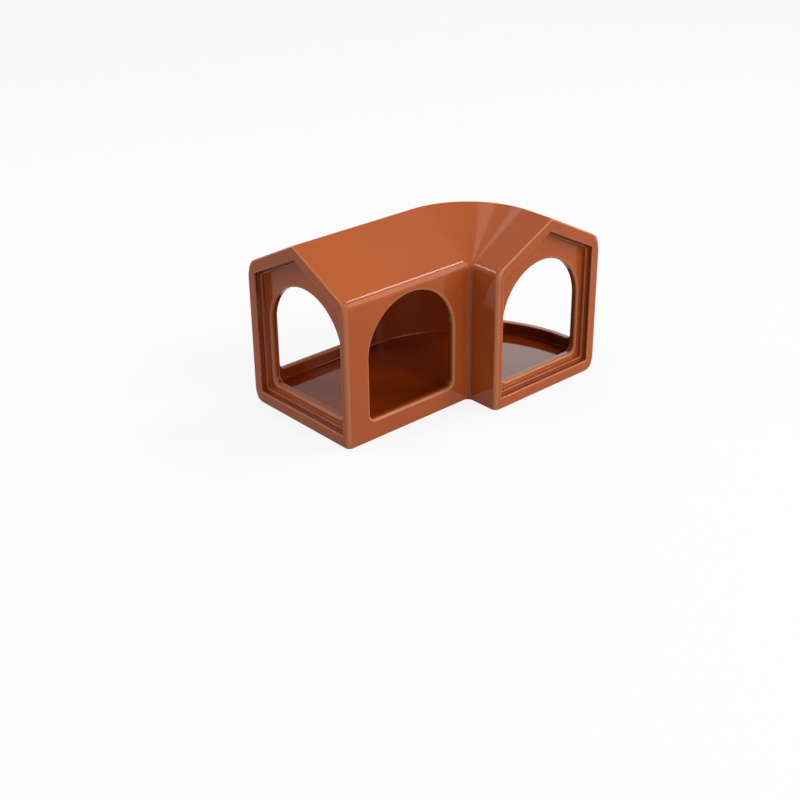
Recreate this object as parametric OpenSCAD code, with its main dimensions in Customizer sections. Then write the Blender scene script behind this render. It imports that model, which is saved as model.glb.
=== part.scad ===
// Elbow-shaped glazed ceramic house for a small pet: a long hall and a short porch, both gabled,
// that meet in a quarter-round bend. Every piece is a clay slab or a moulded section, luted face
// to face with its neighbours before firing. X runs along the hall from its gable, Y from the
// gable of the porch to the back wall, Z up; the house stands on Z = 0.

/* [Doors] */
// Clear width of every arched door
door_w = 61; // [54:0.5:68]
// Clear height of the front door and of the gable doors, from the sill to the crown
door_h = 66.5; // [60:0.5:76]
// Height of the sills of the front door and of the gable doors above the ground
sill_h = 12; // [10:0.5:16]
// Height of the sills of the back door and of the window above the ground
back_sill_h = 14.5; // [10:0.5:18]
// Radius of the two bottom corners of each door
door_corner_r = 4; // [1:0.5:8]
// Distance from a gable face to the near edge of the side doors
door_inset = 16; // [13:0.5:20]
// Wall left between the front door and the inner corner of the elbow
door_end = 12; // [9:0.5:20]

/* [Walls] */
// Thickness of the upright walls
wall_t = 4.5; // [3.5:0.25:6]
// Thickness of the floor slab
floor_t = 7.5; // [4:0.5:9]
// Wall left over the crown of the side doors, up to the seat of the roof
lintel_h = 1.5; // [1:0.25:4]
// How far the porch stands out in front of the hall
porch_l = 22; // [19:0.5:36]
// Radius of the inner corner of the elbow
bend_r = 3; // [2:0.5:5]

/* [Roof] */
// Rise of the ridge above the eaves
roof_rise = 21.5; // [16:0.5:28]
// Thickness of the roof slabs
roof_t = 4.5; // [4:0.25:6]
// Upright foot of the roof slabs along the inside of the walls
roof_foot = 0.75; // [0.5:0.25:2]
// Rounding of the eaves
eave_r = 4; // [2:0.5:4.5]

/* [Gables] */
// Width of the rim round each gable
rim_w = 7; // [5:0.5:8]
// Depth of the rim, from the gable face to the step
rim_d = 3; // [3:0.25:5]
// Width of the step inside the rim
step_w = 2; // [1:0.25:2.5]
// Depth of the step, down to the arched panel
step_d = 3; // [1.5:0.25:5]
// Flat border of the arched panel beside its door
panel_border = 2.5; // [1:0.25:5]
// Thickness of the arched panel
panel_t = 4.5; // [3.5:0.25:6]
// Rounding of the upright edges of each gable face
edge_r = 2.5; // [1:0.25:3]
// Rounding of the bottom edges
foot_r = 1; // [0.5:0.25:2]

/* [Hidden] */

$fn = 120;
glaze = "#a85a35";
// Overrun of the cuts past the faces that they pierce
over = 1;

// Plan of the house
arm_w = door_w + 2 * (panel_border + step_w + rim_w);
half_w = arm_w / 2;
hall_l = door_inset + door_w + door_end;
house_l = hall_l + arm_w;
house_d = porch_l + arm_w;
gable_d = rim_d + step_d + panel_t;
bend_x = hall_l - bend_r;
bend_y = porch_l - bend_r;
side_door = door_inset + door_w / 2;

// Heights of the house; the underside of the roof meets the walls at the top of its foot
door_top = sill_h + door_h;
spring_z = door_top - door_w / 2;
wall_top = door_top + lintel_h;
slope = roof_rise / half_w;
slope_a = atan(slope);
roof_drop = roof_t / cos(slope_a);
eave_h = wall_top + roof_foot + roof_drop - slope * wall_t;
ridge_h = eave_h + roof_rise;

// Centre height of the rounded eave, and the point where it runs into the slope
eave_z = eave_h + slope * eave_r - eave_r / cos(slope_a);
uphill = [-sin(slope_a), cos(slope_a)];
eave_end = [eave_r, eave_z] + eave_r * uphill;

// Cross-sections of an arm: x is the distance from its inner face, y the height
module both_sides() {
    children();
    far_side()
        children();
}

module far_side() {
    translate([arm_w, 0])
        mirror([1, 0])
            children();
}

module eave_waste() {
    difference() {
        polygon([[0, eave_z], [-over, eave_z], [-over, eave_end[1] + over], eave_end + over * uphill, eave_end]);
        translate([eave_r, eave_z])
            circle(eave_r);
    }
}

module foot_waste() {
    difference() {
        translate([-over, -over])
            square(foot_r + over);
        translate([foot_r, foot_r])
            circle(foot_r);
    }
}

module arm_outline() {
    difference() {
        polygon([[0, 0], [0, eave_h], [half_w, ridge_h], [arm_w, eave_h], [arm_w, 0]]);
        both_sides() {
            eave_waste();
            foot_waste();
        }
    }
}

module floor_section() {
    difference() {
        square([arm_w, floor_t]);
        both_sides()
            foot_waste();
    }
}

module wall_section() {
    translate([0, floor_t])
        square([wall_t, wall_top - floor_t]);
}

module roof_section() {
    difference() {
        polygon([[0, wall_top], [0, eave_h], [half_w, ridge_h], [arm_w, eave_h], [arm_w, wall_top],
            [arm_w - wall_t, wall_top], [arm_w - wall_t, wall_top + roof_foot], [half_w, ridge_h - roof_drop],
            [wall_t, wall_top + roof_foot], [wall_t, wall_top]]);
        both_sides()
            eave_waste();
    }
}

module slope_section() {
    intersection() {
        roof_section();
        square([half_w, ridge_h + over]);
    }
}

// The five-sided opening of a gable, at a set distance inside the outline of the arm
module gable_opening(inset) {
    drop = inset / cos(slope_a);
    side_top = eave_h + slope * inset - drop;
    polygon([[inset, inset], [inset, side_top], [half_w, ridge_h - drop],
        [arm_w - inset, side_top], [arm_w - inset, inset]]);
}

// Arched door above its sill, about its own middle line; all crowns are at one height
module door_shape(sill) {
    corner_x = door_w / 2 - door_corner_r;
    translate([0, spring_z])
        circle(door_w / 2);
    translate([-door_w / 2, sill + door_corner_r])
        square([door_w, spring_z - sill - door_corner_r]);
    translate([-corner_x, sill])
        square([2 * corner_x, door_corner_r]);
    for (side = [-1, 1])
        translate([side * corner_x, sill + door_corner_r])
            circle(door_corner_r);
}

module rim_section() {
    difference() {
        arm_outline();
        gable_opening(rim_w);
    }
}

module step_section() {
    difference() {
        arm_outline();
        gable_opening(rim_w + step_w);
    }
}

module panel_section() {
    difference() {
        arm_outline();
        translate([half_w, 0])
            door_shape(sill_h);
    }
}

// The house is drawn from the corner of its box, and stands centred on the origin
module piece() {
    color(glaze)
        translate([-house_l / 2, -house_d / 2, 0])
            children();
}

// A section of the hall, from one distance along it to another
module hall(from, to) {
    translate([from, porch_l, 0])
        rotate([90, 0, 90])
            linear_extrude(to - from)
                children();
}

// A section of the porch, from one distance behind its gable face to another
module porch(from, to) {
    translate([hall_l, to, 0])
        rotate([90, 0, 0])
            linear_extrude(to - from)
                children();
}

module bend() {
    translate([bend_x, bend_y, 0])
        rotate_extrude(angle = 90)
            translate([bend_r, 0])
                children();
}

// A side door, cut square through a wall that stands at this distance behind the porch gable
module hall_door(wall_y, sill) {
    translate([side_door, wall_y + wall_t + over, 0])
        rotate([90, 0, 0])
            linear_extrude(wall_t + 2 * over)
                door_shape(sill);
}

// Waste outside the rounded upright edges of a gable face that looks down the Y axis
module edge_waste() {
    for (side = [0, 1])
        translate([side * arm_w, 0, 0])
            mirror([side, 0, 0])
                difference() {
                    translate([-over, -over, -over])
                        cube([edge_r + over, edge_r + over, ridge_h + 2 * over]);
                    translate([edge_r, edge_r, -2 * over])
                        cylinder(h = ridge_h + 4 * over, r = edge_r);
                }
}

module floor_slab() {
    piece() {
        hall(gable_d, bend_x)
            floor_section();
        bend()
            floor_section();
        porch(gable_d, bend_y)
            floor_section();
    }
}

module hall_front_wall() {
    piece()
        difference() {
            hall(gable_d, bend_x)
                wall_section();
            hall_door(porch_l, sill_h);
        }
}

module hall_back_wall() {
    piece()
        difference() {
            hall(gable_d, bend_x)
                far_side()
                    wall_section();
            hall_door(house_d - wall_t, back_sill_h);
        }
}

module corner_post() {
    piece()
        bend()
            wall_section();
}

module porch_wall() {
    piece()
        porch(gable_d, bend_y)
            wall_section();
}

// The outer wall of the bend and of the porch, with the window that looks out past the bend
module bend_wall() {
    piece()
        difference() {
            union() {
                bend()
                    far_side()
                        wall_section();
                porch(gable_d, bend_y)
                    far_side()
                        wall_section();
            }
            translate([bend_x, side_door, 0])
                rotate([90, 0, 90])
                    linear_extrude(bend_r + arm_w + over)
                        door_shape(back_sill_h);
        }
}

module hall_roof_front() {
    piece()
        hall(gable_d, bend_x)
            slope_section();
}

module hall_roof_back() {
    piece()
        hall(gable_d, bend_x)
            far_side()
                slope_section();
}

module bend_roof() {
    piece()
        bend()
            roof_section();
}

module porch_roof_inner() {
    piece()
        porch(gable_d, bend_y)
            slope_section();
}

module porch_roof_outer() {
    piece()
        porch(gable_d, bend_y)
            far_side()
                slope_section();
}

module hall_gable_rim() {
    piece()
        difference() {
            hall(0, rim_d)
                rim_section();
            translate([0, house_d, 0])
                rotate([0, 0, -90])
                    edge_waste();
        }
}

module hall_gable_step() {
    piece()
        hall(rim_d, rim_d + step_d)
            step_section();
}

module hall_gable_panel() {
    piece()
        hall(rim_d + step_d, gable_d)
            panel_section();
}

module porch_gable_rim() {
    piece()
        difference() {
            porch(0, rim_d)
                rim_section();
            translate([hall_l, 0, 0])
                edge_waste();
        }
}

module porch_gable_step() {
    piece()
        porch(rim_d, rim_d + step_d)
            step_section();
}

module porch_gable_panel() {
    piece()
        porch(rim_d + step_d, gable_d)
            panel_section();
}

floor_slab();
hall_front_wall();
hall_back_wall();
corner_post();
porch_wall();
bend_wall();
hall_roof_front();
hall_roof_back();
bend_roof();
porch_roof_inner();
porch_roof_outer();
hall_gable_rim();
hall_gable_step();
hall_gable_panel();
porch_gable_rim();
porch_gable_step();
porch_gable_panel();
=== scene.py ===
import bpy
import numpy as np
from bpy.props import FloatProperty, FloatVectorProperty, PointerProperty
from mathutils import Matrix, Vector


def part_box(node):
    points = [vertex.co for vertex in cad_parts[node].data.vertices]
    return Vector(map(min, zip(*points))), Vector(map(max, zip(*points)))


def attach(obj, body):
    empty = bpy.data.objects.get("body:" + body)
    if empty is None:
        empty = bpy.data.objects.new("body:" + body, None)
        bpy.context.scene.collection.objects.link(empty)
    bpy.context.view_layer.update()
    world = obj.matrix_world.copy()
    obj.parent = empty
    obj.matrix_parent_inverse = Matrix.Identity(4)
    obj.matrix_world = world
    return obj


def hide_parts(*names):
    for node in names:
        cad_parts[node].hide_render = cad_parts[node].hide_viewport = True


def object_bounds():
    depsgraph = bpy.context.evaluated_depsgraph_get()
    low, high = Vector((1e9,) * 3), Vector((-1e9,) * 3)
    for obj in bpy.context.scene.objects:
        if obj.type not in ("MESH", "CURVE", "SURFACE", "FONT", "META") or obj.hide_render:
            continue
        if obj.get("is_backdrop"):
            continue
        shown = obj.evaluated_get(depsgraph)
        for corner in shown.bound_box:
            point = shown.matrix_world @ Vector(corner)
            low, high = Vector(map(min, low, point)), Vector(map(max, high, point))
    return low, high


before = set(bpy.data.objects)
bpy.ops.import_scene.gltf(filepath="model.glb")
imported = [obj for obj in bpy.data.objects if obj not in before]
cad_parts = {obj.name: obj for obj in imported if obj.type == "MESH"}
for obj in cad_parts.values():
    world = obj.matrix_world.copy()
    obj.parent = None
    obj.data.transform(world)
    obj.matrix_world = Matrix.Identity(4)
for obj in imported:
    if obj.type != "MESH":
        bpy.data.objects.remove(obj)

bl_info = {
    "name": "Ceramic Pet House",
    "version": (1, 0, 0),
    "blender": (4, 5, 0),
    "location": "View3D > Sidebar > Pet House",
    "description": "Elbow-shaped glazed clay house for a small pet, dressed over its packed solids",
    "category": "Object",
}

MM = 0.001
UP = np.array([0.0, 0.0, 1.0])
QUARTER = np.pi / 2
HOUSE_LOW, HOUSE_HIGH = (np.array(corner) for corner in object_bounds())

# Most that a chord leaves off the arc of a rounded corner, and the steps of the other roundings
CHORD = 0.006 * MM
BEND_STEPS = 45
DOOR_LIP_STEPS = 7
GABLE_LIP_STEPS = 6
RIM_EDGE_STEPS = 8
RIM_SIDE_STEPS = 4
HOLLOW_STEPS = 5
BEND_WALL_RINGS = 8

# Points and rays that are closer than this are one, and heights are rounded to these decimals
GRAIN = 1e-6
RAY = 1e-4
HEIGHT_DIGITS = 7
# Lines that cross at less than this don't meet
PARALLEL = 1e-12

# Glaze at a point: 1 is thinnest, 0 lies even and -1 is fully pooled. Thin values also paint a highlight on
# edges, and pooled values paint shade in hollows, in reveals and inside the house
BESIDE_LIP = 0.25
# Painted shade on every face inside the house, where the rooms lie in shade
INDOOR_SHADE = -0.8
# Pooled glaze and painted shade in reveals, in the groove behind the rim and in hollow roundings
REVEAL_POOL_AND_SHADE = -0.1
GROOVE_POOL_AND_SHADE = -0.5
HOLLOW_POOL_AND_SHADE = -0.2
STEP_LIP_SHARE = 0.3

# The glaze evens out this far beside an edge. It breaks fully, with a painted highlight, on corners up to
# the first radius, and not at all from the second; hollow corners take pooled glaze with painted shade the
# same way
SPREAD = 0.7 * MM
FULL_BREAK_R = 1.5 * MM
NO_BREAK_R = 8 * MM

# A normal's part along an axis, under which it counts as level or over which it mostly points that way
LEVEL = 0.1
MOSTLY = 0.5

# Hollow rounding under the ridge, and the wall that stays in one piece past the window
UNDER_RIDGE = 1.5 * MM
WINDOW_MARGIN = 3 * MM
# Height of the centre that outlines are matched from, as a share of the walls' height
CENTRE_SHARE = 0.55


# What the frame says about the plan
def span(node, axis):
    """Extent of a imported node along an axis."""
    low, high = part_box(node)
    return high[axis] - low[axis]


def reach(node, axis):
    """Distance from the low side of the house to the low side of a node."""
    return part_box(node)[0][axis] - HOUSE_LOW[axis]


class HouseSizes(bpy.types.PropertyGroup):
    """Sizes of the house that the skins follow"""

    door_w: FloatProperty(name="Door width", description="Clear width of every arched door",
                          default=61 * MM, unit="LENGTH")
    door_h: FloatProperty(name="Door height",
                          description="Clear height of the front door and of the gable doors",
                          default=66.5 * MM, unit="LENGTH")
    sill_h: FloatProperty(name="Sill height", description="Sills of the front door and of the gable doors",
                          default=12 * MM, unit="LENGTH")
    back_sill_h: FloatProperty(name="Back sill height",
                               description="Sills of the back door and of the window",
                               default=14.5 * MM, unit="LENGTH")
    door_corner_r: FloatProperty(name="Door corners",
                                 description="Radius of the bottom corners of each door",
                                 default=4 * MM, unit="LENGTH")
    door_inset: FloatProperty(name="Door inset",
                              description="From a gable face to the near edge of a side door",
                              default=16 * MM, unit="LENGTH")
    roof_rise: FloatProperty(name="Roof rise", description="Rise of the ridge above the eaves",
                             default=21.5 * MM, unit="LENGTH")
    roof_t: FloatProperty(name="Roof thickness", description="Thickness of the roof slabs",
                          default=4.5 * MM, unit="LENGTH")
    roof_foot: FloatProperty(name="Roof foot",
                             description="Upright foot of the roof slabs inside the walls",
                             default=0.75 * MM, unit="LENGTH")
    rim_w: FloatProperty(name="Rim width", description="Width of the rim round each gable",
                         default=7 * MM, unit="LENGTH")
    near_rim: FloatProperty(name="Near rim",
                            description="How much narrower the rim is on the side of the elbow",
                            default=2 * MM, unit="LENGTH")
    step_w: FloatProperty(name="Step width", description="Width of the step inside the rim",
                          default=2 * MM, unit="LENGTH")


class HouseRoundings(bpy.types.PropertyGroup):
    """Radii of the clay's edges and corners"""

    foot: FloatProperty(name="Foot", description="Rounding of the bottom edges of the body",
                        default=1 * MM, unit="LENGTH")
    eave: FloatProperty(name="Eave", description="Rounding of the eaves of the body",
                        default=5.5 * MM, unit="LENGTH")
    ridge: FloatProperty(name="Ridge", description="Rounding of the ridge",
                         default=1 * MM, unit="LENGTH")
    far_foot: FloatProperty(name="Far foot", description="Rounding of the bottom edges outside the elbow",
                            default=3 * MM, unit="LENGTH")
    far_eave: FloatProperty(name="Far eave", description="Rounding of the eaves outside the elbow",
                            default=5.5 * MM, unit="LENGTH")
    face_foot: FloatProperty(name="Gable foot",
                             description="Bottom corners of a gable face, seen from its front",
                             default=3 * MM, unit="LENGTH")
    face_far_foot: FloatProperty(name="Far gable foot",
                                 description="Bottom corner of a gable face outside the elbow",
                                 default=8 * MM, unit="LENGTH")
    face_eave: FloatProperty(name="Gable eave",
                             description="Eave corners of a gable face, seen from its front",
                             default=9 * MM, unit="LENGTH")
    face_far_eave: FloatProperty(name="Far gable eave",
                                 description="Eave corner of a gable face outside the elbow",
                                 default=14 * MM, unit="LENGTH")
    face_ridge: FloatProperty(name="Gable top",
                              description="Top corner of a gable face, seen from its front",
                              default=3 * MM, unit="LENGTH")
    upright_edge: FloatProperty(name="Upright edges",
                                description="Rounding of the upright edges of a gable face",
                                default=2.5 * MM, unit="LENGTH")
    slope_edge: FloatProperty(name="Sloping edges",
                              description="Rounding of the other edges of a gable face",
                              default=1 * MM, unit="LENGTH")
    back_lip: FloatProperty(name="Back lip", description="Rounding of the door edges that face a room",
                            default=0.6 * MM, unit="LENGTH")
    door_lip: FloatProperty(name="Door lip", description="Rounding of the outer edges of the doors",
                            default=1.6 * MM, unit="LENGTH")
    rim_lip: FloatProperty(name="Rim lip", description="Rounding of the inner edge of the rim",
                           default=0.7 * MM, unit="LENGTH")
    step_lip: FloatProperty(name="Step lip", description="Rounding of the inner edge of the step",
                            default=1.0 * MM, unit="LENGTH")
    fillet: FloatProperty(name="Fillet", description="Hollow rounding where a reveal meets the next face",
                          default=0.8 * MM, unit="LENGTH")
    floor_fillet: FloatProperty(name="Floor fillet",
                                description="Hollow rounding where the walls meet the floor",
                                default=1 * MM, unit="LENGTH")
    opening: FloatProperty(name="Opening corners",
                           description="Corners of the five-sided openings of a gable",
                           default=1 * MM, unit="LENGTH")


class GlazeLook(bpy.types.PropertyGroup):
    """Colours and finish of the glazed clay"""

    body: FloatVectorProperty(name="Glaze", description="Colour of the glaze where it lies even",
                              subtype="COLOR", size=3, min=0, max=1, default=(0.412, 0.084, 0.0165))
    warm: FloatVectorProperty(name="Warm drift", description="Colour that the glaze drifts to in the kiln",
                              subtype="COLOR", size=3, min=0, max=1, default=(0.45, 0.094, 0.016))
    # Thin glaze is also the colour of the painted highlights along edges
    thin_glaze_and_highlight: FloatVectorProperty(name="Thin glaze", description="Colour where the glaze breaks over an edge",
                              subtype="COLOR", size=3, min=0, max=1, default=(0.6, 0.23, 0.1))
    # Pooled glaze is also the colour of the painted shade in hollows, in reveals and inside the house
    pooled_and_shaded: FloatVectorProperty(name="Pooled glaze",
                                description="Colour where the glaze gathers in a corner",
                                subtype="COLOR", size=3, min=0, max=1, default=(0.21, 0.028, 0.003))
    bare: FloatVectorProperty(name="Bare clay", description="Colour of the unglazed underside",
                              subtype="COLOR", size=3, min=0, max=1, default=(0.48, 0.26, 0.16))
    roughness: FloatProperty(name="Roughness", description="Roughness of the glaze",
                             subtype="FACTOR", min=0, max=1, default=0.08)
    specular: FloatProperty(name="Specular level", description="Strength of the glaze's reflection",
                            subtype="FACTOR", min=0, max=1, default=0.19)
    wave: FloatProperty(name="Waviness",
                        description="Height of the slow waves in the hand-finished surface",
                        default=0.06 * MM, unit="LENGTH")


class StudioLook(bpy.types.PropertyGroup):
    """Camera, lamps and floor"""

    azimuth: FloatProperty(name="Azimuth", description="Where the camera stands round the house",
                           subtype="ANGLE", default=np.radians(-44.24))
    elevation: FloatProperty(name="Elevation", description="How far the camera looks down",
                             subtype="ANGLE", default=np.radians(27.35))
    roll: FloatProperty(name="Roll", description="Tilt of the camera about its own line of sight",
                        subtype="ANGLE", default=np.radians(0.570))
    distance: FloatProperty(name="Distance", description="From the camera to the point that it is aimed at",
                            default=700 * MM, unit="LENGTH")
    aim: FloatVectorProperty(name="Aim", description="Point that the camera is aimed at",
                             subtype="XYZ", size=3, default=(-59.69 * MM, -89.25 * MM, 45.15 * MM))
    lens: FloatProperty(name="Lens", description="Focal length on a sensor 36 mm wide",
                        default=62.33)
    shift_x: FloatProperty(name="Shift across", description="Sideways shift of the lens, in picture widths",
                           default=-0.0766)
    shift_y: FloatProperty(name="Shift up", description="Upward shift of the lens, in picture widths",
                           default=-0.0036)
    ambient: FloatProperty(name="Ambient", description="Level of the even light from all round",
                           default=0.27)
    shade: FloatProperty(name="Floor shade", description="Share of the floor's look that real light makes",
                         subtype="FACTOR", min=0, max=1, default=0.15)


# Outlines: rows of place across, height, outward normal (two numbers) and glaze
def unit(vectors):
    """The same vectors at length 1."""
    return vectors / np.linalg.norm(vectors, axis=-1, keepdims=True)


def cross(one, two):
    """Cross product of vectors in a plane."""
    return one[..., 0] * two[..., 1] - one[..., 1] * two[..., 0]


def outward(heading):
    """Direction on the right hand, which is outside an outline that runs counter-clockwise."""
    return np.array([heading[1], -heading[0]])


def smooth(share):
    """Share that starts and ends without a kink."""
    return share * share * (3 - 2 * share)


def lip_break_and_highlight(lean):
    """Glaze on a rounded edge, thinnest halfway through its quarter turn, where its painted highlight is
    brightest.
    """
    return BESIDE_LIP + (1 - BESIDE_LIP) * np.sin(2 * lean)


def rounded(corners, radii):
    """Closed outline, counter-clockwise, with rounded or sharp corners."""
    corners = np.array(corners, float)
    rows = []
    for number, here in enumerate(corners):
        before, after = corners[number - 1], corners[(number + 1) % len(corners)]
        coming, going = unit(here - before), unit(after - here)
        radius = radii[number]
        if radius == 0:
            rows += [(*here, *outward(coming), 0), (*here, *outward(going), 0)]
            continue
        turn = np.arctan2(cross(coming, going), coming @ going)
        length = radius * np.tan(abs(turn) / 2)
        side = np.sign(turn)
        start, end = here - coming * length, here + going * length
        middle = start - side * radius * outward(coming)
        breaks = radius < NO_BREAK_R
        # Round corners get thin glaze with a painted highlight, hollow corners pooled glaze with painted
        # shade
        glaze = side * min(1, FULL_BREAK_R / radius) if breaks else 0
        if breaks and np.linalg.norm(here - before) > length + 2 * SPREAD:
            rows.append((*(start - coming * SPREAD), *outward(coming), 0))
        step = 2 * np.arccos(1 - CHORD / radius)
        count = 2 * int(np.ceil(abs(turn) / step / 2))
        for share in np.linspace(0, 1, count + 1):
            cosine, sine = np.cos(share * turn), np.sin(share * turn)
            normal = outward((coming[0] * cosine - coming[1] * sine,
                              coming[0] * sine + coming[1] * cosine))
            place = middle + side * radius * normal
            rows.append((*place, *normal, glaze * np.sqrt(np.sin(np.pi * share))))
        if breaks and np.linalg.norm(after - here) > length + 2 * SPREAD:
            rows.append((*(end + going * SPREAD), *outward(going), 0))
    return np.array(rows)


def cast(outline, rays, centre):
    """Where rays from a centre cut an outline."""
    away = outline[:, :2] - centre
    angle = np.unwrap(np.arctan2(away[:, 1], away[:, 0]))
    angle = np.append(angle, angle[0] + 2 * np.pi)
    closed = np.vstack([outline, outline[:1]])
    turned = angle[0] + (rays - angle[0]) % (2 * np.pi)
    first = np.clip(np.searchsorted(angle, turned, "right") - 1, 0, len(outline) - 1)
    heading = np.stack([np.cos(rays), np.sin(rays)], 1)
    start, stretch = closed[first], closed[first + 1] - closed[first]
    slant = cross(stretch[:, :2], heading)
    offset = -cross(start[:, :2] - centre, heading)
    share = np.where(np.abs(slant) > PARALLEL, offset / np.where(slant == 0, 1, slant), 0)
    rows = start + np.clip(share, 0, 1)[:, None] * stretch
    rows[:, 2:4] = unit(rows[:, 2:4])
    return rows


def match(outlines, centre):
    """The same rays from a centre cut all the outlines, so that their points pair up."""
    centre = np.array(centre)
    every = []
    for outline in outlines:
        away = outline[:, :2] - centre
        every.append(np.arctan2(away[:, 1], away[:, 0]) % (2 * np.pi))
    rays = np.sort(np.concatenate(every))
    rays = rays[np.append(True, np.diff(rays) > RAY)]
    return [cast(outline, rays, centre) for outline in outlines]


def flipped(outline, width):
    """The same outline seen from the other side of an arm."""
    mirror = outline[::-1].copy()
    mirror[:, 0] = width - mirror[:, 0]
    mirror[:, 2] *= -1
    return mirror


# Skins
class Skin:
    """Faces of one piece of clay, each with a normal and a glaze value at its corners."""

    def __init__(self):
        self.corners = []
        self.normals = []
        self.glaze = []
        self.sizes = []

    def add(self, corners, normals, glaze):
        """Polygons of one size, as (faces, corners, 3), turned to agree with their normals."""
        sides = corners.shape[1]
        ahead = np.roll(corners, -1, 1)
        area = np.cross(corners, ahead).sum(1)
        wrong = (area * normals.mean(1)).sum(1) < 0
        for values in (corners, normals, glaze):
            values[wrong] = values[wrong][:, ::-1]
        for face in range(len(corners)):
            keep = [i for i in range(sides)
                    if np.abs(corners[face, i] - corners[face, (i + 1) % sides]).max() > GRAIN]
            if len(keep) < 3:
                continue
            self.corners.append(corners[face, keep])
            self.normals.append(normals[face, keep])
            self.glaze.append(glaze[face, keep])
            self.sizes.append(len(keep))

    def patch(self, points, normals, glaze=0.0):
        """A grid of points; the normals are a grid like it or one vector."""
        normals = np.broadcast_to(normals, points.shape)
        glaze = np.broadcast_to(glaze, points.shape[:2])
        faces = []
        for grid in (points, normals, glaze):
            around = [grid[:-1, :-1], grid[1:, :-1], grid[1:, 1:], grid[:-1, 1:]]
            stack = np.stack(around, 2)
            faces.append(stack.reshape(-1, 4, *grid.shape[2:]).copy())
        self.add(*faces)

    def band(self, rows):
        """Closed rows of points, each with its normals and glaze, joined to the next."""
        points, normals, glaze = (np.stack([np.concatenate([row[i], row[i][:1]]) for row in rows])
                                  for i in range(3))
        self.patch(points, normals, glaze)

    def cap(self, points, normal):
        """One flat face."""
        normals = np.broadcast_to(normal, points.shape)
        self.add(points[None].copy(), normals[None].copy(), np.zeros((1, len(points))))

    def piece(self, node):
        """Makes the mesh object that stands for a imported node."""
        corners = np.concatenate(self.corners)
        keys = np.round(corners / GRAIN).astype(np.int64)
        _, first, index = np.unique(keys, axis=0, return_index=True, return_inverse=True)
        index = index.reshape(-1)
        faces = np.split(index, np.cumsum(self.sizes)[:-1])
        mesh = bpy.data.meshes.new(node + "_clay")
        mesh.from_pydata(corners[first].tolist(), [], [face.tolist() for face in faces])
        mesh.polygons.foreach_set("use_smooth", [True] * len(mesh.polygons))
        values = np.concatenate(self.glaze)
        thin_glaze_and_highlight, pooled_and_shaded = np.zeros(len(first)), np.zeros(len(first))
        np.maximum.at(thin_glaze_and_highlight, index, values)
        np.minimum.at(pooled_and_shaded, index, values)
        glaze = np.where(-pooled_and_shaded > thin_glaze_and_highlight, pooled_and_shaded, thin_glaze_and_highlight)
        # The glaze attribute carries thin glaze with a painted highlight on edges and pooled glaze with
        # painted shade in hollows and inside
        mesh.attributes.new("glaze", "FLOAT", "POINT").data.foreach_set("value", glaze)
        mesh.normals_split_custom_set(unit(np.concatenate(self.normals)).tolist())
        thing = bpy.data.objects.new(node + "_clay", mesh)
        bpy.context.scene.collection.objects.link(thing)
        mesh.materials.append(glazed_clay())
        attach(thing, "root")
        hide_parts(node)


class Arm:
    """A straight arm of the house: along from its gable face, across from its inner face."""

    def __init__(self, origin, along, across):
        self.origin = np.array(origin, float)
        self.along = np.array(along, float)
        self.across = np.array(across, float)

    def station(self, distance):
        """Place and direction of a cross-section, at a distance behind the gable face."""
        return self.origin + self.along * distance, self.across

    def at(self, distance, rows):
        """Points of an outline, at a distance behind the gable face."""
        return self.origin + self.along * distance + self.across * rows[:, 0:1] + UP * rows[:, 1:2]

    def normal(self, rows):
        """Outward normals of an outline."""
        return self.across * rows[:, 2:3] + UP * rows[:, 3:4]

    def lip(self, rows, distance, radius, facing, thin_glaze_and_highlight=1.0):
        """Rounded edge from a flat face into a hole: facing is -1 for a front and 1 for a back."""
        edge = []
        for lean in np.linspace(0, QUARTER, GABLE_LIP_STEPS + 1):
            inset, depth = radius * (1 - np.sin(lean)), radius * (1 - np.cos(lean))
            points = self.at(distance - facing * depth, rows) + inset * self.normal(rows)
            normals = facing * self.along * np.cos(lean) - self.normal(rows) * np.sin(lean)
            # Thin glaze with a painted highlight along the lip, scaled by the share given
            edge.append((points, normals, np.full(len(rows), thin_glaze_and_highlight * lip_break_and_highlight(lean))))
        return edge

    def flat(self, rows, distance, offset, facing, glaze=0.0):
        """A row on a flat face, beside an outline."""
        points = self.at(distance, rows) + offset * self.normal(rows)
        return points, np.broadcast_to(facing * self.along, points.shape), np.full(len(rows), glaze)

    def side(self, rows, distance, side, glaze=None):
        """A row on the side wall that an outline makes: side is 1 outside a body and -1 in a hole."""
        glaze = rows[:, 4] if glaze is None else np.full(len(rows), glaze)
        return self.at(distance, rows), side * self.normal(rows), glaze


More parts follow.
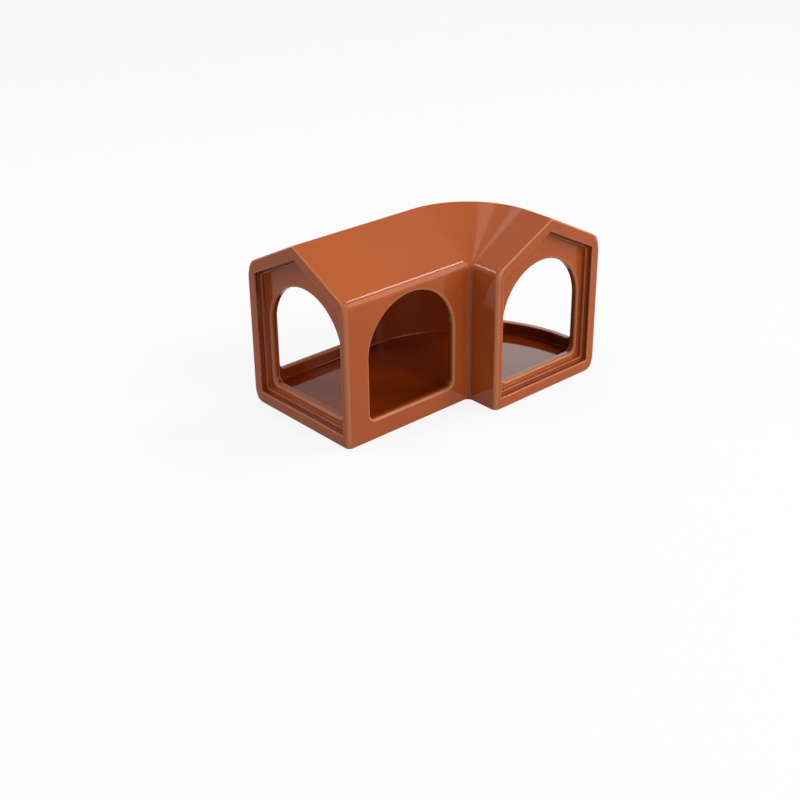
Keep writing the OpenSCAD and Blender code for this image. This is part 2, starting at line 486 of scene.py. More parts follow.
class House:
    """Plan and heights of the house, and the outlines that its pieces share."""

    def __init__(self, scene):
        size, radius = scene.house_sizes, scene.house_roundings
        self.size, self.radius = size, radius
        self.lips = radius.door_lip, radius.back_lip
        self.rim_d = span("hall_gable_rim", 0)
        self.step_d = span("hall_gable_step", 0)
        self.panel_t = span("hall_gable_panel", 0)
        self.gable_d = self.rim_d + self.step_d + self.panel_t
        self.floor_t = span("floor_slab", 2)
        self.wall_t = span("hall_front_wall", 1)
        self.wall_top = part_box("hall_front_wall")[1][2]
        self.porch_l = reach("hall_front_wall", 1)
        self.hall_l = reach("porch_wall", 0)
        self.arm_w = HOUSE_HIGH[0] - HOUSE_LOW[0] - self.hall_l
        self.half_w = self.arm_w / 2
        self.bend_x = reach("corner_post", 0)
        self.bend_r = self.hall_l - self.bend_x
        self.bend_y = self.porch_l - self.bend_r
        self.side_door = size.door_inset + size.door_w / 2
        self.slope = size.roof_rise / self.half_w
        self.slope_a = np.arctan(self.slope)
        self.drop = size.roof_t / np.cos(self.slope_a)
        self.eave_h = self.wall_top + size.roof_foot + self.drop - self.slope * self.wall_t
        self.ridge_h = self.eave_h + size.roof_rise
        self.hall = Arm((HOUSE_LOW[0], HOUSE_LOW[1] + self.porch_l, 0), (1, 0, 0), (0, 1, 0))
        self.porch = Arm((HOUSE_LOW[0] + self.hall_l, HOUSE_LOW[1], 0), (0, 1, 0), (1, 0, 0))
        self.middle = (self.half_w, self.wall_top * CENTRE_SHARE)

    def bend_station(self, angle):
        """A cross-section of the bend, from 0 at the porch to a quarter turn at the hall."""
        heading = np.array([np.cos(angle), np.sin(angle), 0])
        centre = np.array([HOUSE_LOW[0] + self.bend_x, HOUSE_LOW[1] + self.bend_y, 0])
        return centre + self.bend_r * heading, heading

    def bend_stations(self, start=0.0):
        """Cross-sections of the bend, from an angle to the hall."""
        angles = np.arange(BEND_STEPS + 1) * QUARTER / BEND_STEPS
        return [self.bend_station(angle) for angle in angles if angle >= start - RAY]

    def arm_outline(self):
        """Outer outline of the body."""
        radius = self.radius
        return self.five_sides([radius.foot, radius.far_foot, radius.far_eave, radius.ridge, radius.eave])

    def face_outline(self):
        """Outline of a gable face, with softer corners."""
        radius = self.radius
        return self.five_sides([radius.face_foot, radius.face_far_foot, radius.face_far_eave,
                                radius.face_ridge, radius.face_eave])

    def five_sides(self, radii):
        """Outline of an arm, from the foot of the elbow's inner side round to its eave."""
        width, eave = self.arm_w, self.eave_h
        return rounded([(0, 0), (width, 0), (width, eave), (self.half_w, self.ridge_h), (0, eave)], radii)

    def opening(self, inset):
        """Five-sided opening of a gable; the rim is narrower on the side of the elbow."""
        near, far = inset - self.size.near_rim, self.arm_w - inset
        drop, near_drop = (part / np.cos(self.slope_a) for part in (inset, (inset + near) / 2))
        ridge = self.half_w + (near_drop - drop) / (2 * self.slope)
        corners = [(near, inset), (far, inset), (far, self.eave_h + self.slope * inset - drop),
                   (ridge, self.eave_h + self.slope * ridge - near_drop),
                   (near, self.eave_h + self.slope * near - near_drop)]
        return rounded(corners, [self.radius.opening] * len(corners))

    def door(self, middle, sill):
        """Outline of a door; all crowns are at one height."""
        size = self.size
        half, top = size.door_w / 2, size.sill_h + size.door_h
        low, high = middle - half, middle + half
        return rounded([(low, sill), (high, sill), (high, top), (low, top)],
                       [size.door_corner_r, size.door_corner_r, half, half])

    def roof_section(self):
        """Cross-section of the roof over both sides of an arm."""
        radius, size = self.radius, self.size
        seat, inner = self.wall_top, self.wall_top + size.roof_foot
        width, wall = self.arm_w, self.wall_t
        section = rounded([(0, seat), (wall, seat), (wall, inner), (self.half_w, self.ridge_h - self.drop),
                           (width - wall, inner), (width - wall, seat), (width, seat), (width, self.eave_h),
                           (self.half_w, self.ridge_h), (0, self.eave_h)],
                          [0, 0, size.roof_foot, UNDER_RIDGE, size.roof_foot, 0, 0,
                           radius.far_eave, radius.ridge, radius.eave])
        return self.paint_indoor_shade(section, (section[:, 3] < LEVEL) & (section[:, 1] > seat - GRAIN))

    def slope_section(self, whole):
        """The inner half of a roof section, closed along the plane of the ridge."""
        near = whole[:, 0] <= self.half_w + GRAIN
        first = int(np.argmin(near))
        last = first + int(np.argmax(near[first:]))
        low, high = whole[first - 1], whole[last]
        join = np.array([(*low[:2], 1, 0, 0), (*high[:2], 1, 0, 0)])
        return np.vstack([whole[:first], join, whole[last:]])

    def floor_section(self):
        """Cross-section of the floor slab, with a fillet up to each wall."""
        width, wall, top, radius = self.arm_w, self.wall_t, self.floor_t, self.radius
        fillet = radius.floor_fillet
        far = width - wall
        section = rounded([(0, 0), (width, 0), (width, top), (far, top), (far, top + fillet),
                           (far, top), (wall, top), (wall, top + fillet), (wall, top), (0, top)],
                          [radius.foot, radius.far_foot, 0, 0, 0, fillet, fillet, 0, 0, 0])
        return self.paint_indoor_shade(section, section[:, 1] > top - GRAIN)

    def wall_section(self):
        """The wall on the inside of the elbow."""
        wall, low, high = self.wall_t, self.floor_t, self.wall_top
        section = rounded([(0, low), (wall, low), (wall, high), (0, high)], [0, 0, 0, 0])
        return self.paint_indoor_shade(section, section[:, 2] > MOSTLY)

    def paint_indoor_shade(self, section, where):
        """Marks the rows of a cross-section that face the room with painted shade, in the darkest pooled
        colour.
        """
        past_near = section[:, 0] > self.wall_t - GRAIN
        before_far = section[:, 0] < self.arm_w - self.wall_t + GRAIN
        section[:, 4] = np.where(where & past_near & before_far, INDOOR_SHADE, section[:, 4])
        return section


def sweep(stations, outline):
    """A skin that carries an outline from station to station, closed at both ends."""
    skin = Skin()
    points = np.stack([origin + across * outline[:, 0:1] + UP * outline[:, 1:2]
                       for origin, across in stations])
    normals = np.stack([across * outline[:, 2:3] + UP * outline[:, 3:4] for _, across in stations])
    around = np.append(np.arange(len(outline)), 0)
    skin.patch(points[:, around], normals[:, around], outline[around, 4])
    for end, beside in ((0, 1), (-1, -2)):
        square = np.cross(stations[end][1], UP)
        away = points[end].mean(0) - points[beside].mean(0)
        skin.cap(points[end], square * np.sign(square @ away))
    return skin


# Walls with an opening
class Face:
    """One side of a wall that runs straight and may go on into the bend."""

    # Direction from the centre of the bend to the straight part
    away = np.array([1.0, 0.0, 0.0])

    def __init__(self, origin, along, out, radius=None, straight=0.0):
        self.origin = np.array(origin, float)
        self.along = np.array(along, float)
        self.out = np.array(out, float)
        self.radius, self.straight = radius, straight

    def angle(self, run):
        """How far the wall has turned, at a distance along its face."""
        if self.radius is None:
            return np.zeros_like(run)
        return np.maximum(run - self.straight, 0) / self.radius

    def unroll(self, shadow):
        """Distance along the face of a point that lies this far along in a view square to the wall."""
        if self.radius is None:
            return shadow
        arc = np.arcsin(np.clip((shadow - self.straight) / self.radius, -1, 1)) * self.radius
        return np.where(shadow < self.straight, shadow, self.straight + arc)

    def at(self, run, height):
        """Points on the face."""
        along, back = run, np.zeros_like(run)
        if self.radius is not None:
            angle = self.angle(run)
            along = np.where(run < self.straight, run, self.straight + self.radius * np.sin(angle))
            back = self.radius * (1 - np.cos(angle))
        return (self.origin + self.along * along[:, None] + UP * height[:, None]
                - self.away * back[:, None])

    def tangent(self, run):
        """Level direction along the face."""
        angle = self.angle(run)[:, None]
        return self.along * np.cos(angle) - self.away * np.sin(angle)

    def normal(self, run):
        """Direction square to the face."""
        if self.radius is None:
            return np.broadcast_to(self.out, (len(run), 3))
        angle = self.angle(run)[:, None]
        turned = self.away * np.cos(angle) + self.along * np.sin(angle)
        return turned * np.sign(self.out @ self.away)


def lipped_side(face, border, hole, into_hole, lip, deep, rings):
    """Rows of one side of a wall, from its border to the end of the lip that turns into the hole."""
    height, across, up = hole[:, 1], hole[:, 2], hole[:, 3]
    place = face.unroll(hole[:, 0])
    offset = unit(np.stack([across, up / np.cos(face.angle(place))], 1))
    near = np.stack([place, height], 1) + lip * offset
    gap = np.linalg.norm(border - near, axis=1, keepdims=True)
    mid = near + (border - near) * np.minimum(0.5, SPREAD / np.maximum(gap, GRAIN))
    rows = []
    # The inner side carries painted shade all over, and each lip a painted highlight as well as thin glaze
    for share in np.linspace(0, 1, rings + 1):
        spot = border * (1 - share) + mid * share
        rows.append((face.at(*spot.T), face.normal(spot[:, 0]), np.full(len(spot), deep)))
    rows.append((face.at(*near.T), face.normal(near[:, 0]), np.full(len(near), deep + BESIDE_LIP)))
    corner = face.at(place, height)
    surface = face.tangent(place) * offset[:, 0:1] + UP * offset[:, 1:2]
    for lean in np.linspace(0, QUARTER, DOOR_LIP_STEPS + 1)[1:]:
        points = corner + lip * (1 - np.sin(lean)) * surface - lip * (1 - np.cos(lean)) * face.out
        normals = unit(face.normal(place) * np.cos(lean) + into_hole * np.sin(lean))
        rows.append((points, normals, np.full(len(place), deep + lip_break_and_highlight(lean))))
    return rows


def jamb(first, second, normals):
    """Rows across a jamb; just inside both lips the glaze lies even again, and painted shade darkens it
    towards the room.
    """
    stretch = second - first
    length = np.linalg.norm(stretch, axis=1, keepdims=True)
    step = stretch / length * np.minimum(SPREAD, length / 3)
    levels = BESIDE_LIP, REVEAL_POOL_AND_SHADE, INDOOR_SHADE, INDOOR_SHADE + BESIDE_LIP
    return [(points, normals, np.full(len(points), level))
            for points, level in zip((first, first + step, second - step, second), levels)]


def close_border(skin, first, second, runs, end):
    """Faces from one side of a wall to the other along its border, but not past its end."""
    centre = (first.mean(0) + second.mean(0)) / 2
    for one, two in zip(range(len(runs)), np.roll(range(len(runs)), -1)):
        if min(runs[one], runs[two]) > end - GRAIN:
            continue
        quad = np.array([first[one], first[two], second[two], second[one]])
        flat = np.cross(quad[2] - quad[0], quad[3] - quad[1])
        if np.linalg.norm(flat) > GRAIN * GRAIN:
            skin.cap(quad, unit(flat) * np.sign(flat @ (quad.mean(0) - centre)))


def holed_wall(skin, outer, inner, border, hole, lips, rings=1, end=np.inf):
    """Both sides of a wall round an arched hole, with rounded lips, the jamb and the outer border."""
    border = border[:, :2]
    inner_border = border.copy()
    if outer.radius is not None:
        past = (border[:, 0] - outer.straight) * (inner.radius / outer.radius)
        inner_border[:, 0] = np.where(past < 0, border[:, 0], outer.straight + past)
    into_hole = -(outer.along * hole[:, 2:3] + UP * hole[:, 3:4])
    front = lipped_side(outer, border, hole, into_hole, lips[0], 0, rings)
    back = lipped_side(inner, inner_border, hole, into_hole, lips[1], INDOOR_SHADE, rings)
    skin.band(front)
    skin.band(back)
    skin.band(jamb(front[-1][0], back[-1][0], into_hole))
    close_border(skin, front[0][0], back[0][0], border[:, 0], end)


def rectangle(low, high, bottom, top, stops=()):
    """Outline of a wall, with extra points along its foot and head."""
    across = [(low, bottom), *((stop, bottom) for stop in stops), (high, bottom), (high, top),
              *((stop, top) for stop in reversed(stops)), (low, top)]
    return np.array([(*place, 1, 0, 0) for place in across])


# Gables
def gable_rim(house, arm):
    """Raised five-sided rim; its outer edge runs from the softer face back to the body."""
    radius, skin = house.radius, Skin()
    outlines = [house.face_outline(), house.arm_outline(), house.opening(house.size.rim_w)]
    face, body, hole = match(outlines, house.middle)
    lip = arm.lip(hole, 0, radius.rim_lip, -1)
    upright = smooth(np.clip((np.abs(face[:, 2:3]) - MOSTLY) / (1 - MOSTLY), 0, 1))
    edge = radius.slope_edge + (radius.upright_edge - radius.slope_edge) * upright
    shift = body[:, :2] - face[:, :2]

    def outer_row(lean, depth):
        """Row at a depth behind the face, where its edge has turned by the lean."""
        share = depth / house.rim_d
        ease = smooth(share)
        # How fast the smooth share grows with the depth
        rate = 6 * share * (1 - share) / house.rim_d
        rows = face.copy()
        rows[:, :2] += shift * ease
        rows[:, 2:4] = unit(face[:, 2:4] * (1 - ease) + body[:, 2:4] * ease)
        sine = np.sin(lean)
        grow = (shift * rows[:, 2:4]).sum(1, keepdims=True) * rate
        points = arm.at(depth, rows) - edge * (1 - sine) * arm.normal(rows)
        normals = unit(arm.normal(rows) * sine - arm.along * (np.cos(lean) + sine * grow))
        # Thin glaze with a painted highlight on the rounded outer edge
        glaze = np.maximum(lip_break_and_highlight(lean) * (lean < QUARTER), body[:, 4] * ease[:, 0])
        return points, normals, glaze

    leans = np.linspace(0, QUARTER, RIM_EDGE_STEPS + 1)
    outer = [outer_row(lean, edge * (1 - np.cos(lean))) for lean in leans]
    outer[-1] = (*outer[-1][:2], np.full(len(face), BESIDE_LIP))
    for share in np.linspace(0, 1, RIM_SIDE_STEPS + 1)[1:]:
        outer.append(outer_row(QUARTER, edge + (house.rim_d - edge) * share))
    inner_face = arm.flat(hole, 0, radius.rim_lip + SPREAD, -1)
    points = outer[0][0] - SPREAD * arm.normal(face)
    outer_face = (points, np.broadcast_to(-arm.along, points.shape), np.zeros(len(face)))
    # Pooled glaze and painted shade in the groove behind the rim
    skin.band([arm.side(hole, house.rim_d, -1, GROOVE_POOL_AND_SHADE),
               arm.side(hole, radius.rim_lip + SPREAD, -1, GROOVE_POOL_AND_SHADE), *reversed(lip)])
    skin.band([lip[0], inner_face, outer_face, outer[0]])
    skin.band(outer)
    skin.band([arm.flat(body, house.rim_d, 0, 1), arm.flat(hole, house.rim_d, 0, 1)])
    return skin


def recessed_plate(house, arm, start, end, frame_hole, hole, lip, back_lip, pool_and_shade, thin_glaze_and_highlight=1.0):
    """Plate of a gable: a hollow rounding under the frame in front, a face, a lipped hole and its jamb."""
    skin, fillet = Skin(), house.radius.fillet
    body, frame_hole, hole = match([house.arm_outline(), frame_hole, hole], house.middle)
    # Pooled glaze and painted shade in the hollow rounding under the frame
    hollow = []
    for lean in np.linspace(0, QUARTER, HOLLOW_STEPS + 1):
        points = (arm.at(start - fillet * (1 - np.sin(lean)), frame_hole)
                  - fillet * (1 - np.cos(lean)) * arm.normal(frame_hole))
        normals = -arm.normal(frame_hole) * np.cos(lean) - arm.along * np.sin(lean)
        hollow.append((points, normals, np.full(len(points), pool_and_shade + HOLLOW_POOL_AND_SHADE * np.sin(2 * lean))))
    front = arm.lip(hole, start, lip, -1, thin_glaze_and_highlight)
    skin.band([arm.flat(body, start, 0, -1), arm.flat(frame_hole, start, 0, -1)])
    skin.band([arm.side(frame_hole, start, 1, 0), arm.side(frame_hole, start - fillet, 1, 0)])
    skin.band(hollow)
    skin.band([hollow[-1], arm.flat(frame_hole, start, -fillet - SPREAD / 2, -1, pool_and_shade * (1 - thin_glaze_and_highlight)),
               arm.flat(hole, start, lip + SPREAD / 2, -1, pool_and_shade * (1 - thin_glaze_and_highlight)), front[0]])
    skin.band(front)
    if back_lip:
        back = arm.lip(hole, end, back_lip, 1)
        skin.band([front[-1], arm.side(hole, start + lip + SPREAD, -1, REVEAL_POOL_AND_SHADE),
                   arm.side(hole, end - back_lip - SPREAD, -1, INDOOR_SHADE), back[-1]])
        skin.band([*reversed(back), arm.flat(hole, end, back_lip + SPREAD, 1, INDOOR_SHADE),
                   arm.flat(body, end, -house.wall_t, 1, INDOOR_SHADE), arm.flat(body, end, 0, 1)])
    else:
        skin.band([front[-1], arm.side(hole, start + lip + SPREAD, -1, REVEAL_POOL_AND_SHADE),
                   arm.side(hole, end, -1, REVEAL_POOL_AND_SHADE)])
        skin.band([arm.flat(hole, end, 0, 1), arm.flat(body, end, 0, 1)])
    skin.band([arm.side(body, start, 1), arm.side(body, end, 1)])
    return skin


# Materials: which noise levels show as drift and as specks
DRIFT_RANGE = 0.35, 0.65
SPECK_RANGE = 0.66, 0.76
WAVE_ROUGHNESS = 0.35

# How far specks and thin glaze with its painted highlight cover the body colour, where thin glaze starts
# and where a pool with its painted shade is full
SPECK_SHARE = 0.35
THIN_HIGHLIGHT_SHARE = 0.75
THIN_HIGHLIGHT_FROM = 0.1
FULL_POOL_AND_SHADE = 0.8

# Heights between which the bare clay gives way to glaze, and how much rougher it is
BARE_UP_TO = 0.15 * MM
GLAZED_FROM = 0.5 * MM
BARE_ROUGHNESS = 0.6
GLAZE_IOR = 1.5

# Colour sockets of a mix node
MIX_FIRST, MIX_SECOND, MIX_RESULT = 6, 7, 2


class Wiring:
    """Short way to lay nodes and links in a tree."""

    def __init__(self, tree):
        self.tree = tree
        tree.nodes.clear()

    def node(self, kind, inputs=None, **settings):
        """A node with its settings, and with a value or a link in each named input."""
        made = self.tree.nodes.new(kind)
        for name, value in settings.items():
            setattr(made, name, value)
        for name, value in (inputs or {}).items():
            if isinstance(value, bpy.types.NodeSocket):
                self.tree.links.new(value, made.inputs[name])
            else:
                made.inputs[name].default_value = value
        return made

    def math(self, operation, first, second):
        """Result of a sum or product."""
        return self.node("ShaderNodeMath", {0: first, 1: second}, operation=operation).outputs[0]

    def mix(self, share, first, second):
        """From the first colour to the second."""
        inputs = {"Factor": share, MIX_FIRST: first, MIX_SECOND: second}
        return self.node("ShaderNodeMix", inputs, data_type="RGBA").outputs[MIX_RESULT]

    def spread(self, value, low, high, to_low=0.0, to_high=1.0):
        """Smooth change of one value into another."""
        inputs = {"Value": value, "From Min": low, "From Max": high, "To Min": to_low, "To Max": to_high}
        return self.node("ShaderNodeMapRange", inputs, interpolation_type="SMOOTHSTEP").outputs[0]


def opaque(colour):
    """Colour with full alpha."""
    return (*colour, 1.0)


def kiln_drift():
    """Group: slow drift of colour, fine specks and slow waves of fired clay."""
    tree = bpy.data.node_groups.get("kiln_drift")
    if tree:
        return tree
    tree = bpy.data.node_groups.new("kiln_drift", "ShaderNodeTree")
    for name, scale in (("Drift scale", 14.0), ("Speck scale", 900.0), ("Wave scale", 34.0)):
        socket = tree.interface.new_socket(name, in_out="INPUT", socket_type="NodeSocketFloat")
        socket.default_value = scale
    for name in ("Drift", "Speck", "Wave"):
        tree.interface.new_socket(name, in_out="OUTPUT", socket_type="NodeSocketFloat")
    lay = Wiring(tree)
    inputs = lay.node("NodeGroupInput").outputs
    place = lay.node("ShaderNodeTexCoord").outputs["Object"]

    def noise(scale, **more):
        """Noise through the clay at one of the group's scales."""
        return lay.node("ShaderNodeTexNoise", {"Vector": place, "Scale": inputs[scale], **more}).outputs[0]

    lay.node("NodeGroupOutput", {"Drift": lay.spread(noise("Drift scale", Detail=2.0), *DRIFT_RANGE),
                                 "Speck": lay.spread(noise("Speck scale", Detail=2.0), *SPECK_RANGE),
                                 "Wave": noise("Wave scale", Detail=1.0, Roughness=WAVE_ROUGHNESS)})
    return tree


def glazed_clay():
    """Glossy terracotta glaze over the whole body, with bare clay where it stands."""
    material = bpy.data.materials.get("terracotta_glaze")
    if material:
        return material
    look = bpy.context.scene.house_glaze
    material = bpy.data.materials.new("terracotta_glaze")
    material.use_nodes = True
    lay = Wiring(material.node_tree)
    group = lay.node("ShaderNodeGroup", node_tree=kiln_drift()).outputs
    # The glaze attribute paints highlights where it is high and shade where it is low
    edge = lay.node("ShaderNodeAttribute", attribute_name="glaze").outputs["Fac"]
    thin_glaze_and_highlight = lay.math("MULTIPLY", lay.spread(edge, THIN_HIGHLIGHT_FROM, 1.0), THIN_HIGHLIGHT_SHARE)
    pooled_and_shaded = lay.spread(lay.math("MULTIPLY", edge, -1.0), 0.0, FULL_POOL_AND_SHADE)
    speck = lay.math("MULTIPLY", group["Speck"], SPECK_SHARE)
    place = lay.node("ShaderNodeTexCoord").outputs["Object"]
    height = lay.node("ShaderNodeSeparateXYZ", {0: place}).outputs["Z"]
    bare = lay.spread(height, BARE_UP_TO, GLAZED_FROM, 1.0, 0.0)
    colour = lay.mix(group["Drift"], opaque(look.body), opaque(look.warm))
    # Thin glaze with a painted highlight on edges, pooled glaze with painted shade in hollows and indoors,
    # specks in the same dark colour, bare clay underneath
    for share, tone in ((thin_glaze_and_highlight, look.thin_glaze_and_highlight), (pooled_and_shaded, look.pooled_and_shaded), (speck, look.pooled_and_shaded), (bare, look.bare)):
        colour = lay.mix(share, colour, opaque(tone))
    rough = lay.math("ADD", look.roughness, lay.math("MULTIPLY", bare, BARE_ROUGHNESS))
    bump = lay.node("ShaderNodeBump", {"Height": group["Wave"], "Distance": look.wave, "Strength": 1.0})
    shader = lay.node("ShaderNodeBsdfPrincipled", {
        "Base Color": colour, "Roughness": rough, "IOR": GLAZE_IOR,
        "Specular IOR Level": look.specular, "Normal": bump.outputs[0]})
    lay.node("ShaderNodeOutputMaterial", {"Surface": shader.outputs[0]})
    return material


def seen_directly(lay):
    """1 for a ray from the camera, a reflection or a refraction, and 0 for one that carries light."""
    path = lay.node("ShaderNodeLightPath")
    seen = lay.math("MAXIMUM", path.outputs["Is Camera Ray"], path.outputs["Is Glossy Ray"])
    return lay.math("MAXIMUM", seen, path.outputs["Is Transmission Ray"])


# Stage: the floor's half width in metres and its cells, and its greys for light and for the eye
FLOOR_HALF, FLOOR_CELLS = 3.0, 12
FLOOR_LIT, FLOOR_SEEN = 0.45, 0.85
WHITE = (1.0, 1.0, 1.0, 1.0)
NEAREST_SEEN = 10 * MM

# Each lamp: name, azimuth and elevation in degrees, distance, width and height in metres, power in watts
LAMPS = (
    ("key_window", 2, 45, 1.3, 0.26, 0.55, 3.4),
    ("side_window", 46, 26, 1.3, 0.6, 0.9, 6.4),
    ("front_fill", 8, 12, 1.3, 0.5, 0.4, 3.4),
    ("eave_window", 82, 52.5, 2.6, 0.6, 0.36, 12.0),
    ("top_panel", -90, 80, 1.3, 0.5, 0.5, 0.7),
    ("left_window", -93, 46, 1.3, 0.08, 0.7, 1.5),
    ("left_panel", -138, 36, 1.3, 0.35, 0.25, 2.8),
    ("far_window", 132, 25, 1.3, 0.25, 0.3, 0.45),
    ("near_tube", 180, 73, 1.3, 0.9, 0.15, 0.9),
    ("far_tube", 180, 58, 1.3, 0.9, 0.12, 0.7),
)


def direction(azimuth, elevation):
    """From the house to a place round it; azimuth 0 lies in front of the porch."""
    flat = np.cos(elevation)
    return Vector((np.sin(azimuth) * flat, -np.cos(azimuth) * flat, np.sin(elevation)))


def facing(back):
    """Turn of a camera or lamp that looks against a direction."""
    return back.to_track_quat("Z", "Y").to_matrix().to_4x4()


class StageOperator(bpy.types.Operator):
    """Camera, lamps, white surround and pale floor"""

    bl_idname = "pet_house.stage"
    bl_label = "Stage"

    def execute(self, context):
        look = context.scene.house_studio
        self.camera(context, look)
        self.surround(context, look)
        self.floor(context, look)
        self.lamps(context)
        context.scene.view_settings.view_transform = "Standard"
        return {"FINISHED"}

    def camera(self, context, look):
        """Camera at the photographed angle."""
        back = direction(look.azimuth, look.elevation)
        data = bpy.data.cameras.new("camera")
        data.lens = look.lens
        data.shift_x, data.shift_y = look.shift_x, look.shift_y
        data.clip_start = NEAREST_SEEN
        camera = bpy.data.objects.new("camera", data)
        turn = facing(back) @ Matrix.Rotation(look.roll, 4, "Z")
        camera.matrix_world = Matrix.Translation(Vector(look.aim) + back * look.distance) @ turn
        context.scene.collection.objects.link(camera)
        context.scene.camera = camera

    def surround(self, context, look):
        """White where it is seen, and an even soft light on the house."""
        world = bpy.data.worlds.new("surround")
        world.use_nodes = True
        context.scene.world = world
        lay = Wiring(world.node_tree)
        level = lay.spread(seen_directly(lay), 0.0, 1.0, look.ambient, 1.0)
        light = lay.node("ShaderNodeBackground", {"Color": WHITE, "Strength": level})
        lay.node("ShaderNodeOutputWorld", {"Surface": light.outputs[0]})

    def floor(self, context, look):
        """Level pale floor in square cells."""
        steps = np.linspace(-FLOOR_HALF, FLOOR_HALF, FLOOR_CELLS + 1)
        points = [(x, y, 0.0) for y in steps for x in steps]
        faces = []
        for row in range(FLOOR_CELLS):
            for column in range(FLOOR_CELLS):
                first = row * len(steps) + column
                faces.append((first, first + 1, first + len(steps) + 1, first + len(steps)))
        mesh = bpy.data.meshes.new("studio_floor")
        mesh.from_pydata(points, [], faces)
        floor = bpy.data.objects.new("studio_floor", mesh)
        context.scene.collection.objects.link(floor)
        mesh.materials.append(self.pale_floor(look))
        floor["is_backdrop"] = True

    def pale_floor(self, look):
        """White where it is seen, but for its shade, and a plain grey for the light that it throws back."""
        material = bpy.data.materials.new("pale_floor")
        material.use_nodes = True
        lay = Wiring(material.node_tree)
        seen = seen_directly(lay)
        tone = lay.mix(seen, opaque([FLOOR_LIT] * 3), opaque([FLOOR_SEEN] * 3))
        plain = lay.node("ShaderNodeBsdfDiffuse", {"Color": tone})
        glow = lay.node("ShaderNodeEmission", {"Color": WHITE, "Strength": 1.0})
        share = lay.math("MULTIPLY", seen, 1 - look.shade)
        blend = lay.node("ShaderNodeMixShader", {0: share, 1: plain.outputs[0], 2: glow.outputs[0]})
        lay.node("ShaderNodeOutputMaterial", {"Surface": blend.outputs[0]})
        return material

    def lamps(self, context):
        """Soft rectangular lamps round the house."""
        centre = Vector((HOUSE_LOW + HOUSE_HIGH) / 2)
        for name, azimuth, elevation, distance, width, height, power in LAMPS:
            back = direction(np.radians(azimuth), np.radians(elevation))
            data = bpy.data.lights.new(name, "AREA")
            data.shape = "RECTANGLE"
            data.size, data.size_y = width, height
            data.energy = power
            lamp = bpy.data.objects.new(name, data)
            lamp.matrix_world = Matrix.Translation(centre + back * distance) @ facing(back)
            context.scene.collection.objects.link(lamp)


# Pieces of the house
class FloorOperator(bpy.types.Operator):
    """Floor slab under the hall, the bend and the porch"""

    bl_idname = "pet_house.floor_slab"
    bl_label = "Floor slab"

    def execute(self, context):
        house = House(context.scene)
        ends = [arm.station(house.gable_d) for arm in (house.porch, house.hall)]
        stations = [ends[0], *house.bend_stations(), ends[1]]
        sweep(stations, house.floor_section()).piece("floor_slab")
        return {"FINISHED"}


class HallWallsOperator(bpy.types.Operator):
    """Front and back walls of the hall, each with an arched door"""

    bl_idname = "pet_house.hall_walls"
    bl_label = "Hall walls"

    def execute(self, context):
        house = House(context.scene)
        arm, size, far = house.hall, house.size, house.arm_w
        wall = rectangle(house.gable_d, house.bend_x, house.floor_t, house.wall_top)
        centre = house.side_door, house.middle[1]
        for node, outer, inner, side, sill in (
                ("hall_front_wall", 0, house.wall_t, -1, size.sill_h),
                ("hall_back_wall", far, far - house.wall_t, 1, size.back_sill_h)):
            border, hole = match([wall, house.door(house.side_door, sill)], centre)
            faces = [Face(arm.origin + arm.across * place, arm.along, arm.across * sign)
                     for place, sign in ((outer, side), (inner, -side))]
            skin = Skin()
            holed_wall(skin, *faces, border, hole, house.lips)
            skin.piece(node)
        return {"FINISHED"}


class CornerOperator(bpy.types.Operator):
    """Rounded inner corner of the elbow and the short inner wall of the porch"""

    bl_idname = "pet_house.inner_corner"
    bl_label = "Inner corner"

    def execute(self, context):
        house = House(context.scene)
        section = house.wall_section()
        sweep(house.bend_stations(), section).piece("corner_post")
        porch = [house.porch.station(distance) for distance in (house.gable_d, house.bend_y)]
        sweep(porch, section).piece("porch_wall")
        return {"FINISHED"}


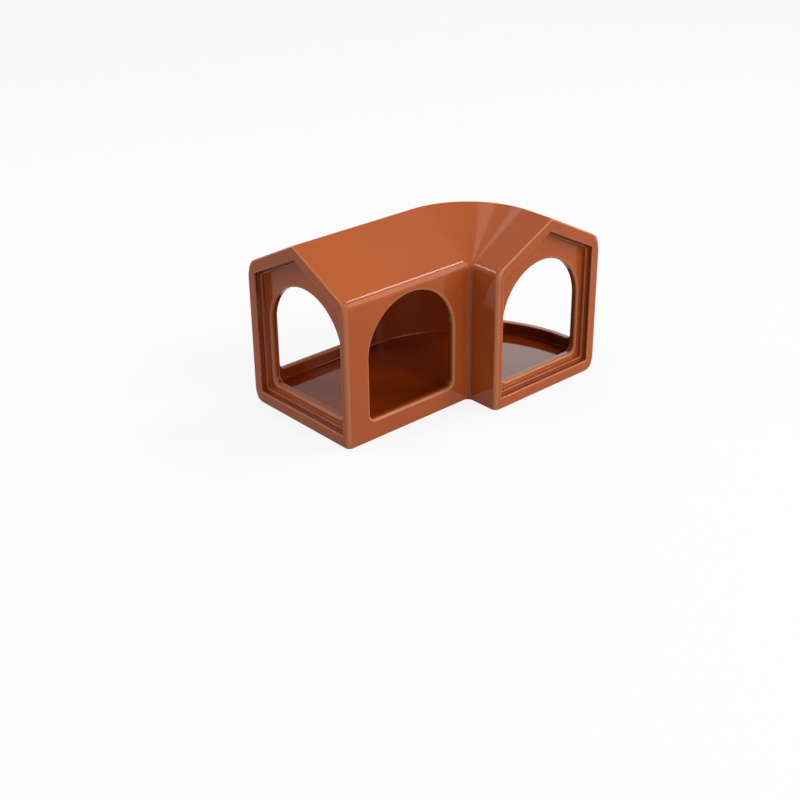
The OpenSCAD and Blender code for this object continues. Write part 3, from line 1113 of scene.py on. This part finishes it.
class BendWallOperator(bpy.types.Operator):
    """Curved outer wall of the bend and the outer wall of the porch, with the arched window"""

    bl_idname = "pet_house.bend_wall"
    bl_label = "Bend wall"

    def execute(self, context):
        house = House(context.scene)
        skin = Skin()
        start, heights = self.round_window(house, skin)
        self.plain_bend(house, skin, start, heights)
        skin.piece("bend_wall")
        return {"FINISHED"}

    def round_window(self, house, skin):
        """The wall from the gable past the window; gives the angle where it ends and the heights there."""
        outer_r = house.bend_r + house.arm_w
        inner_r = outer_r - house.wall_t
        window_end = np.arcsin((house.side_door + house.size.door_w / 2 - house.bend_y) / inner_r)
        step = QUARTER / BEND_STEPS
        last = int(np.ceil((window_end + WINDOW_MARGIN / inner_r) / step)) + 1
        *stops, end = [house.bend_y + outer_r * number * step for number in range(last + 1)]
        outer, inner = (Face((HOUSE_HIGH[0] - depth, HOUSE_LOW[1], 0), (0, 1, 0), (side, 0, 0),
                             outer_r - depth, house.bend_y) for depth, side in ((0, 1), (house.wall_t, -1)))
        window = house.door(house.side_door, house.size.back_sill_h)
        window[:, 0] = outer.unroll(window[:, 0])
        centre = ((window[:, 0].min() + window[:, 0].max()) / 2, house.middle[1])
        wall = rectangle(house.gable_d, end, house.floor_t, house.wall_top, stops)
        border, hole = match([wall, window], centre)
        shadow = house.bend_y + outer_r * np.sin(outer.angle(hole[:, 0]))
        hole[:, 0] = np.where(hole[:, 0] < house.bend_y, hole[:, 0], shadow)
        holed_wall(skin, outer, inner, border, hole, house.lips, BEND_WALL_RINGS, end)
        seam = np.abs(border[:, 0] - end) < GRAIN
        return last * step, np.unique(np.round(border[seam, 1], HEIGHT_DIGITS))

    def plain_bend(self, house, skin, start, heights):
        """The rest of the bend, from an angle to the back wall of the hall."""
        stations = house.bend_stations(start)
        inside, outside = house.arm_w - house.wall_t, house.arm_w
        # The inner side of the bend carries painted shade
        for place, side, glaze in ((outside, 1, 0), (inside, -1, INDOOR_SHADE)):
            points = np.stack([origin + across * place + UP * heights[:, None]
                               for origin, across in stations])
            normals = np.stack([np.broadcast_to(across * side, (len(heights), 3))
                                for _, across in stations])
            skin.patch(points, normals, glaze)
        for height, side in ((house.floor_t, -1), (house.wall_top, 1)):
            points = np.stack([[origin + across * place + UP * height for place in (inside, outside)]
                               for origin, across in stations])
            skin.patch(points, UP * side)
        origin, across = stations[-1]
        end = [origin + across * inside + UP * height for height in heights]
        end += [origin + across * outside + UP * height for height in heights[::-1]]
        skin.cap(np.array(end), -house.hall.along)


class RoofOperator(bpy.types.Operator):
    """Roof slabs of the hall and the porch, and the turned roof of the bend"""

    bl_idname = "pet_house.roofs"
    bl_label = "Roofs"

    def execute(self, context):
        house = House(context.scene)
        whole = house.roof_section()
        near = house.slope_section(whole)
        far = flipped(house.slope_section(flipped(whole, house.arm_w)), house.arm_w)
        for arm, end, names in ((house.hall, house.bend_x, ("hall_roof_front", "hall_roof_back")),
                                (house.porch, house.bend_y, ("porch_roof_inner", "porch_roof_outer"))):
            stations = [arm.station(house.gable_d), arm.station(end)]
            sweep(stations, near).piece(names[0])
            sweep(stations, far).piece(names[1])
        sweep(house.bend_stations(), whole).piece("bend_roof")
        return {"FINISHED"}


class GableOperator(bpy.types.Operator):
    """Rim, step and arched panel of both gables"""

    bl_idname = "pet_house.gables"
    bl_label = "Gables"

    def execute(self, context):
        house = House(context.scene)
        size, radius = house.size, house.radius
        rim_hole, step_hole = house.opening(size.rim_w), house.opening(size.rim_w + size.step_w)
        door = house.door(house.half_w, size.sill_h)
        panel_start = house.rim_d + house.step_d
        for name, arm in (("hall", house.hall), ("porch", house.porch)):
            gable_rim(house, arm).piece(name + "_gable_rim")
            # The step darkens its groove and the panel its reveal with pooled glaze and painted shade
            step = recessed_plate(house, arm, house.rim_d, panel_start, rim_hole, step_hole,
                                  radius.step_lip, 0, GROOVE_POOL_AND_SHADE, STEP_LIP_SHARE)
            step.piece(name + "_gable_step")
            panel = recessed_plate(house, arm, panel_start, house.gable_d, step_hole, door,
                                   *house.lips, REVEAL_POOL_AND_SHADE)
            panel.piece(name + "_gable_panel")
        return {"FINISHED"}


class HousePanel(bpy.types.Panel):
    """Steps that build the pet house"""

    bl_idname = "VIEW3D_PT_pet_house"
    bl_label = "Pet House"
    bl_space_type = "VIEW_3D"
    bl_region_type = "UI"
    bl_category = "Pet House"

    def draw(self, context):
        for operator in OPERATORS:
            self.layout.operator(operator.bl_idname)


OPERATORS = (StageOperator, FloorOperator, HallWallsOperator, CornerOperator, BendWallOperator,
             RoofOperator, GableOperator)
SETTINGS = {"house_sizes": HouseSizes, "house_roundings": HouseRoundings, "house_glaze": GlazeLook,
            "house_studio": StudioLook}


def register():
    """Makes the settings, the steps and the panel known to Blender."""
    for group in (*SETTINGS.values(), *OPERATORS, HousePanel):
        bpy.utils.register_class(group)
    for name, group in SETTINGS.items():
        setattr(bpy.types.Scene, name, PointerProperty(type=group))


def unregister():
    """Takes them out again."""
    for name in SETTINGS:
        delattr(bpy.types.Scene, name)
    for group in (HousePanel, *reversed(OPERATORS), *SETTINGS.values()):
        bpy.utils.unregister_class(group)


def main():
    """Builds the house step by step."""
    register()
    for step in (bpy.ops.pet_house.stage, bpy.ops.pet_house.floor_slab, bpy.ops.pet_house.hall_walls,
                 bpy.ops.pet_house.inner_corner, bpy.ops.pet_house.bend_wall, bpy.ops.pet_house.roofs,
                 bpy.ops.pet_house.gables):
        step()


if __name__ == "__main__":
    main()
